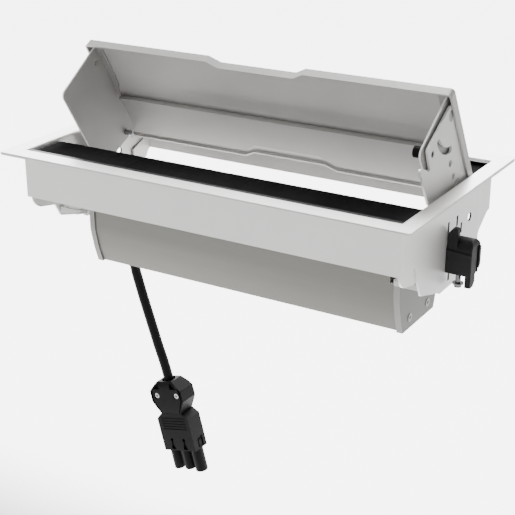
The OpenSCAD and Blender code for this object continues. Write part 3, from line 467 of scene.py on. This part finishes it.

# Lid. One steel sheet with folded edges and a finger notch in both long sides,
# powder coated after folding.

# A slightly deeper silver grey than the frame's, and flatter: painted shade on the lid's underside.
silver = surface("lid_coat_with_painted_shade", "#bcbab8", "#b4b2b0", grain_mm=0.8, rough=(0.44, 0.54),
                 relief_mm=0.015, Metallic=0.35)
dress("lid", "carrier", silver, edge_mm=0.35, rounding=3)

# Carrier bracket. One bent and powder-coated steel sheet: a web under the lid, with
# an end cap at each end, to take a row of sockets between them.

# The same finish as the lid's, in a greyer coat: painted shade on the web and end caps under the lid.
shaded_bracket_coat = surface("bracket_coat_with_painted_shade", "#9c9a98", "#949290", grain_mm=0.8, rough=(0.44, 0.54),
                       relief_mm=0.015, Metallic=0.35)
# Sheared and laser-cut edges, painted near white: a painted highlight along them.
edge_highlight_steel = surface("painted_highlight_edge", "#fafaf8", "#f0f0ee", grain_mm=1.5, rough=(0.3, 0.4),
                    Metallic=0.3)


def paint_light_on_faces(piece, metal, beyond):
    """Paints the faces that lie along X, further out than some distance, in a lighter finish: painted
    light.
    """
    most_tilt = 0.2
    piece.data.materials.append(metal)
    for face in piece.data.polygons:
        if abs(face.normal.x) < most_tilt and abs(face.center.x) > beyond:
            face.material_index = 1


bracket = dress("carrier_bracket", "carrier", shaded_bracket_coat, edge_mm=0.25)
# The end caps' cut edges get a painted highlight.
paint_light_on_faces(bracket, edge_highlight_steel, beyond=0.15)

# Side plates. Laser-cut steel in dull zinc, each with a curved slot about its top
# screw and a row of set holes; the right one reaches down in a notched lobe. A black
# buffer stands on the right end cap.

# Zinc plating on sheet: a light grey with a faint mottle.
zinc_sheet = surface("zinc_plated_sheet", "#d9d8d6", "#cccbc9", grain_mm=3.0, rough=(0.4, 0.52),
                     relief_mm=0.01, Metallic=0.5)
# Clear zinc on turned studs and screws, in a darker grey.
zinc_dull = surface("grey_zinc_plating", "#a4a4a2", "#8f8f8d", grain_mm=1.2, rough=(0.34, 0.46),
                    Metallic=0.9)
# Each plate's cut edges get a painted highlight.
for side in ("left", "right"):
    plate = dress("side_plate_" + side, "carrier", zinc_sheet, edge_mm=0.2)
    paint_light_on_faces(plate, edge_highlight_steel, beyond=0)
    dress("plate_stud_" + side, "carrier", zinc_dull, edge_mm=0.15)
dress("stop_buffer", "carrier", nylon, edge_mm=0.4)

# Pivots. A polished pin welded to the inside of each end wall, a white bush that turns
# on it, and a spring washer that presses on the side plate, so that the lid stays put.

# Chrome plate on a turned pin: a clear, even mirror.
polished = surface("polished_chrome_plate", "#a2a3a5", "#97989b", grain_mm=4.0, rough=(0.1, 0.16),
                   Metallic=1.0)
# Acetal: an even milky white with a low shine.
acetal = surface("white_acetal", "#e6e6e2", "#dcdcd8", grain_mm=2.0, rough=(0.35, 0.45))
# Blued spring steel, worn to a grey with a soft shine.
spring_steel = surface("blued_spring_steel", "#8c8d90", "#7a7b7e", grain_mm=2.0, rough=(0.3, 0.4),
                       Metallic=1.0)
for side in ("left", "right"):
    dress("pivot_pin_" + side, "frame", polished, edge_mm=0.3, rounding=3)
    dress("pivot_bush_" + side, "carrier", acetal, edge_mm=0.15)
    dress("spring_washer_" + side, "frame", spring_steel, edge_mm=0.1)

# Trough. An extruded aluminium channel with screw ports along it, closed at each
# end by a pressed cap that laps over it and takes two cross-head screws.

# Natural anodising: even mid grey with die lines along the length.
trough_alu = surface("natural_anodised_aluminium", "#84837e", "#7a7974", grain_mm=0.9, rough=(0.34, 0.46),
                     stretch=(0.03, 1, 1), relief_mm=0.01, Metallic=0.6)
# The caps are powder coated instead, in a more even grey, painted darker as painted shade on their end
# faces.
shaded_cap_coat = surface("grey_powder_coat", "#737270", "#6b6a68", grain_mm=0.8, rough=(0.4, 0.5),
                   relief_mm=0.015, Metallic=0.4)
# The lap round the trough is the same coat, painted lighter and drawn with lines along it: painted light on
# the lap.
lit_cap_lap = surface("cap_lap_with_painted_light", "#a09f9b", "#969591", grain_mm=0.9, rough=(0.36, 0.46),
                   stretch=(0.1, 1, 1), relief_mm=0.01, Metallic=0.5)


def round_bends(piece, bend_mm):
    """Rounds the shallow bends that run along X, ahead of the broken edges."""
    shallowest, steepest = 0.12, 0.6
    share_along_x = 0.9

    def bends_along_x(edge):
        run = edge.verts[1].co - edge.verts[0].co
        return shallowest < edge.calc_face_angle() < steepest and abs(run.x) > share_along_x * run.length

    shell = bmesh.new()
    shell.from_mesh(piece.data)
    weigh_edges(shell, bends_along_x)
    shell.to_mesh(piece.data)
    shell.free()
    bend = piece.modifiers.new("rounded_bends", "BEVEL")
    bend.width = bend_mm / 1000
    bend.segments = 6
    bend.limit_method = "WEIGHT"
    bend.use_clamp_overlap = False
    piece.modifiers.move(len(piece.modifiers) - 1, 0)


bend_mm = 3.8
trough = dress("trough", "frame", trough_alu, edge_mm=0.2)
round_bends(trough, bend_mm)
# Each cap's end face carries painted shade, and its lap painted light.
for side in ("left", "right"):
    cap = dress("trough_cap_" + side, "frame", shaded_cap_coat, edge_mm=0.35, rounding=3)
    paint_light_on_faces(cap, lit_cap_lap, beyond=0.13)
    round_bends(cap, bend_mm)
cap_screws = dress("trough_screws", "frame", zinc_dull, edge_mm=0.12)
# The cross in each screw head, by the depth that it reaches, its middle and half its size; its faces get
# painted shade.
cross_depth = (144.1, 144.86)
cross_height = -100.5
cross_arm = 1.9
crosses = [recess(*cross_depth, y, cross_height, cross_arm, cross_arm) for y in (-12.3, 20.7)]
shade_recesses(cap_screws, crosses, largest_mm2=12)

# Hangers. Bent strips of zinc-plated steel, spot-welded to the tabs of the end walls,
# that pass round the ends of the trough and carry it.
for side in ("left", "right"):
    dress("hanger_" + side, "frame", zinc_sheet, edge_mm=0.25)

# Table clamps. A hollow black claw at each end, drawn up against the underside of
# the table by a screw that runs in a fixed nut.

# Glass-filled nylon again, but a greyer charge than the plug's.
claw_nylon = surface("glass_filled_nylon", "#1b1b1c", "#131314", grain_mm=0.9, rough=(0.45, 0.55),
                     relief_mm=0.02, Specular_IOR_Level=0.2)
# Chrome plate on the clamp screws, painted a mid grey as a painted reflection, and it mirrors the dark claw
# above it.
screw_chrome = surface("clamp_screw_chrome", "#77787a", "#6c6d6f", grain_mm=4.0, rough=(0.08, 0.14),
                       Metallic=1.0)


def front_cheek(side):
    """Moulds the front cheek of a claw, a little proud of it, with a dipped upper edge."""
    outward = -1 if side == "left" else 1
    root, tip = 0.1676, 0.1872
    crest, foot, dip = -0.0424, -0.0612, 0.0015
    front, back = -0.00525, -0.00425
    steps, ease = 8, 0.7
    upper = [(root + (tip - root) * i / steps, crest - dip * (i / steps) ** ease) for i in range(steps + 1)]
    outline = upper + [(tip, foot), (root, foot)]
    count = len(outline)
    spots = [(outward * x, y, z) for y in (front, back) for x, z in outline]
    walls = [(i, (i + 1) % count, (i + 1) % count + count, i + count) for i in range(count)]
    faces = [tuple(range(count)), tuple(range(2 * count - 1, count - 1, -1))] + walls
    mesh = bpy.data.meshes.new("claw_cheek_" + side)
    mesh.from_pydata(spots, [], faces)
    shell = bmesh.new()
    shell.from_mesh(mesh)
    bmesh.ops.recalc_face_normals(shell, faces=shell.faces)
    shell.to_mesh(mesh)
    shell.free()
    mesh.materials.append(claw_nylon)
    cheek = stand("claw_cheek_" + side, mesh)
    soft_edge = cheek.modifiers.new("broken_edges", "BEVEL")
    soft_edge.width = 0.0003
    soft_edge.segments = 2
    return cheek


for side in ("left", "right"):
    dress("clamp_claw_" + side, "claw_" + side, claw_nylon, edge_mm=0.5, rounding=3)
    dress("clamp_screw_" + side, "screw_" + side, screw_chrome, edge_mm=0.2)
    dress("clamp_nut_" + side, "frame", zinc_bright, edge_mm=0.2)
    cheek = front_cheek(side)
    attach(cheek, "claw_" + side)

# Studio. A bright white floor some way below the plug and a wide pale sweep all round,
# with soft lamps in front, at the right-hand side and above the back.
floor_level = -0.36
floor_reach = 8
floor_mesh = bpy.data.meshes.new("pale_floor")
corners = [(-floor_reach, -floor_reach), (floor_reach, -floor_reach),
           (floor_reach, floor_reach), (-floor_reach, floor_reach)]
floor_mesh.from_pydata([(x, y, floor_level) for x, y in corners], [], [(0, 1, 2, 3)])
floor = stand("pale_floor", floor_mesh)
# White paper lit from below, which glows most behind the unit and less to the front
# and to the right of it.
white_paper = surface("backlit_white_paper", "#c6c6c6", "#c4c4c4", grain_mm=4.0, rough=(0.9, 0.95),
                      Emission_Color=(1, 1, 1, 1))
paper_glow = 0.55
glow_added = 4.6
fade_heading = (0.945, 0.326, 0)
paper_tree = white_paper.node_tree
paper_place = add(paper_tree, "ShaderNodeTexCoord")
paper_depth = add(paper_tree, "ShaderNodeSeparateXYZ", links={"Vector": paper_place.outputs["Object"]})
paper_side = add(paper_tree, "ShaderNodeVectorMath", {1: fade_heading},
                 {0: paper_place.outputs["Object"]}, operation="DOT_PRODUCT")
paper_fade = add(paper_tree, "ShaderNodeMapRange",
                 {"From Min": 0.2, "From Max": 0.48, "To Min": glow_added, "To Max": 0.0},
                 {"Value": paper_side.outputs["Value"]}, interpolation_type="SMOOTHSTEP")
paper_rise = add(paper_tree, "ShaderNodeMapRange", {"From Min": -0.14, "From Max": 0.03},
                 {"Value": paper_depth.outputs["Y"]}, interpolation_type="SMOOTHSTEP")
paper_light = add(paper_tree, "ShaderNodeMath", {2: paper_glow},
                  {0: paper_fade.outputs["Result"], 1: paper_rise.outputs["Result"]},
                  operation="MULTIPLY_ADD")
paper_coat = paper_tree.nodes["Principled BSDF"]
paper_tree.links.new(paper_light.outputs[0], paper_coat.inputs["Emission Strength"])
floor_mesh.materials.append(white_paper)
# The sweep: brightest near the horizon, at the back and on the left, with a large
# soft panel of light up behind the left-hand end.
world = bpy.data.worlds.new("white_studio")
world.use_nodes = True
sky = world.node_tree
backdrop = sky.nodes["Background"]
aim = add(sky, "ShaderNodeTexCoord")
split = add(sky, "ShaderNodeSeparateXYZ", links={"Vector": aim.outputs["Generated"]})
height = add(sky, "ShaderNodeMapRange", {"From Min": 0.15, "From Max": 0.85, "To Min": 1.0, "To Max": 0.0},
             {"Value": split.outputs["Z"]}, interpolation_type="SMOOTHSTEP")
behind = add(sky, "ShaderNodeMapRange", {"From Min": -0.2, "From Max": 0.9, "To Min": 0.5, "To Max": 1.5},
             {"Value": split.outputs["Y"]}, interpolation_type="SMOOTHSTEP")
beside = add(sky, "ShaderNodeMapRange", {"From Min": -0.2, "From Max": 0.8, "To Min": 1.0, "To Max": 0.35},
             {"Value": split.outputs["X"]}, interpolation_type="SMOOTHSTEP")
around = add(sky, "ShaderNodeMath", links={0: behind.outputs[0], 1: beside.outputs[0]},
             operation="MULTIPLY")
band = add(sky, "ShaderNodeMath", links={0: height.outputs[0], 1: around.outputs[0]},
           operation="MULTIPLY")
panel_heading = Vector((-0.52, 0.8, 0.32)).normalized()
panel_aim = add(sky, "ShaderNodeVectorMath", {1: panel_heading},
                {0: aim.outputs["Generated"]}, operation="DOT_PRODUCT")
panel = add(sky, "ShaderNodeMapRange", {"From Min": 0.72, "From Max": 0.97, "To Min": 0.25, "To Max": 9.0},
            {"Value": panel_aim.outputs["Value"]}, interpolation_type="SMOOTHSTEP")
glow = add(sky, "ShaderNodeMath", links={0: band.outputs[0], 1: panel.outputs[0]}, operation="ADD")
sky.links.new(glow.outputs[0], backdrop.inputs["Strength"])
backdrop.inputs["Color"].default_value = (1, 1, 1, 1)
bpy.context.scene.world = world
# Each lamp's place, width in metres and power in watts; it faces the unit's middle.
for name, spot, width, power in (
        ("front_lamp", (-0.8, -1.3, 0.95), 1.2, 10),
        ("side_lamp", (1.4, -0.7, 0.5), 0.8, 1.5),
        ("top_lamp", (-0.15, 0.68, 0.98), 0.6, 26)):
    lamp_data = bpy.data.lights.new(name, "AREA")
    lamp_data.energy = power
    lamp_data.size = width
    facing = Vector(spot).to_track_quat("Z", "Y").to_matrix().to_4x4()
    lamp = stand(name, lamp_data)
    lamp.matrix_world = Matrix.Translation(spot) @ facing
